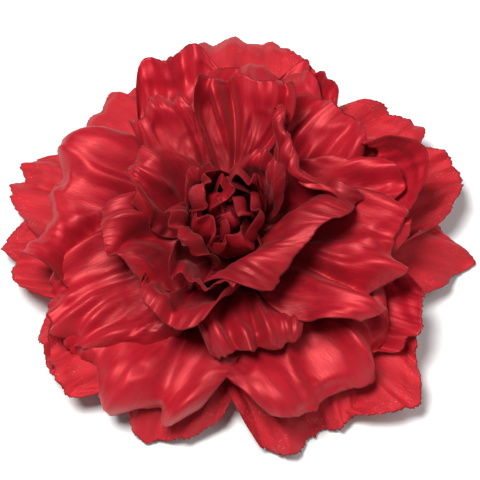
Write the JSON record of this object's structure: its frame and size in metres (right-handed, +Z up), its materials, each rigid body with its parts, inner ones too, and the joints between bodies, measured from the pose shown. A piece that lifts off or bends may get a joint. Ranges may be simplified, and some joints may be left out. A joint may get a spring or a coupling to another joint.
{
  "type": "flower hair clip",
  "caption": "Large red satin peony hair flower with layered petals on a felt backing and a sprung steel alligator clip that opens to grip hair.",
  "frame": {"origin": "middle of the flower on the surface that it lies on, under the flower's axis", "axes": "+Z up along the flower's axis towards the bud, +Y to the flower's top as it is worn, +X along the clip towards the tip of its jaws"},
  "size_m": [0.1551, 0.1543, 0.0581],
  "materials": {
    "petal_matt_satin": "matt red satin with a fine broken sheen and a heat-frayed edge",
    "petal_satin": "smooth red satin with broad soft highlights",
    "bud_satin": "deep red satin, tightly rolled",
    "felt": "pressed red felt",
    "stem_plastic": "matt dark red moulded plastic",
    "wadding": "dark red wadding",
    "steel": "bright nickel-plated spring steel"
  },
  "bodies": {
    "flower": {"clip_upper_arm": "steel", "hinge_pin": "steel", "torsion_spring": "steel", "felt_backing": "felt", "stem_peg": "stem_plastic", "bud_core": "wadding", "back_petal_1": "petal_matt_satin", "back_petal_2": "petal_matt_satin", "back_petal_3": "petal_matt_satin", "back_petal_4": "petal_matt_satin", "back_petal_5": "petal_matt_satin", "back_petal_6": "petal_matt_satin", "back_petal_7": "petal_matt_satin", "back_petal_8": "petal_matt_satin", "rear_petal_1": "petal_matt_satin", "rear_petal_2": "petal_matt_satin", "rear_petal_3": "petal_matt_satin", "rear_petal_4": "petal_matt_satin", "rear_petal_5": "petal_matt_satin", "rear_petal_6": "petal_matt_satin", "rear_petal_7": "petal_matt_satin", "wide_petal_1": "petal_satin", "wide_petal_2": "petal_satin", "wide_petal_3": "petal_satin", "wide_petal_4": "petal_satin", "wide_petal_5": "petal_satin", "cup_petal_1": "petal_satin", "cup_petal_2": "petal_satin", "cup_petal_3": "petal_satin", "cup_petal_4": "petal_satin", "cup_petal_5": "petal_satin", "ruffle_petal_1": "petal_satin", "ruffle_petal_2": "petal_satin", "ruffle_petal_3": "petal_satin", "ruffle_petal_4": "petal_satin", "ruffle_petal_5": "petal_satin", "ruffle_petal_6": "petal_satin", "inner_petal_1": "petal_satin", "inner_petal_2": "petal_satin", "inner_petal_3": "petal_satin", "inner_petal_4": "petal_satin", "inner_petal_5": "petal_satin", "bud_outer_petal_1": "bud_satin", "bud_outer_petal_2": "bud_satin", "bud_outer_petal_3": "bud_satin", "bud_outer_petal_4": "bud_satin", "bud_outer_petal_5": "bud_satin", "bud_inner_petal_1": "bud_satin", "bud_inner_petal_2": "bud_satin", "bud_inner_petal_3": "bud_satin", "bud_inner_petal_4": "bud_satin", "collar_1": "stem_plastic", "collar_2": "stem_plastic", "collar_3": "stem_plastic", "collar_4": "stem_plastic", "collar_5": "stem_plastic", "collar_6": "stem_plastic", "collar_7": "stem_plastic"},
    "jaw": {"clip_lower_jaw": "steel"}
  },
  "joints": [
    {"name": "jaw_hinge", "type": "hinge", "parent": "flower", "child": "jaw", "pos_m": [-0.007, 0, 0.0077], "axis": [0, 1, 0], "range_deg": [0, 25], "stiffness_Nm_per_rad": 0.1, "springref_deg": -60.16, "deforming": ["torsion_spring"]}
  ]
}
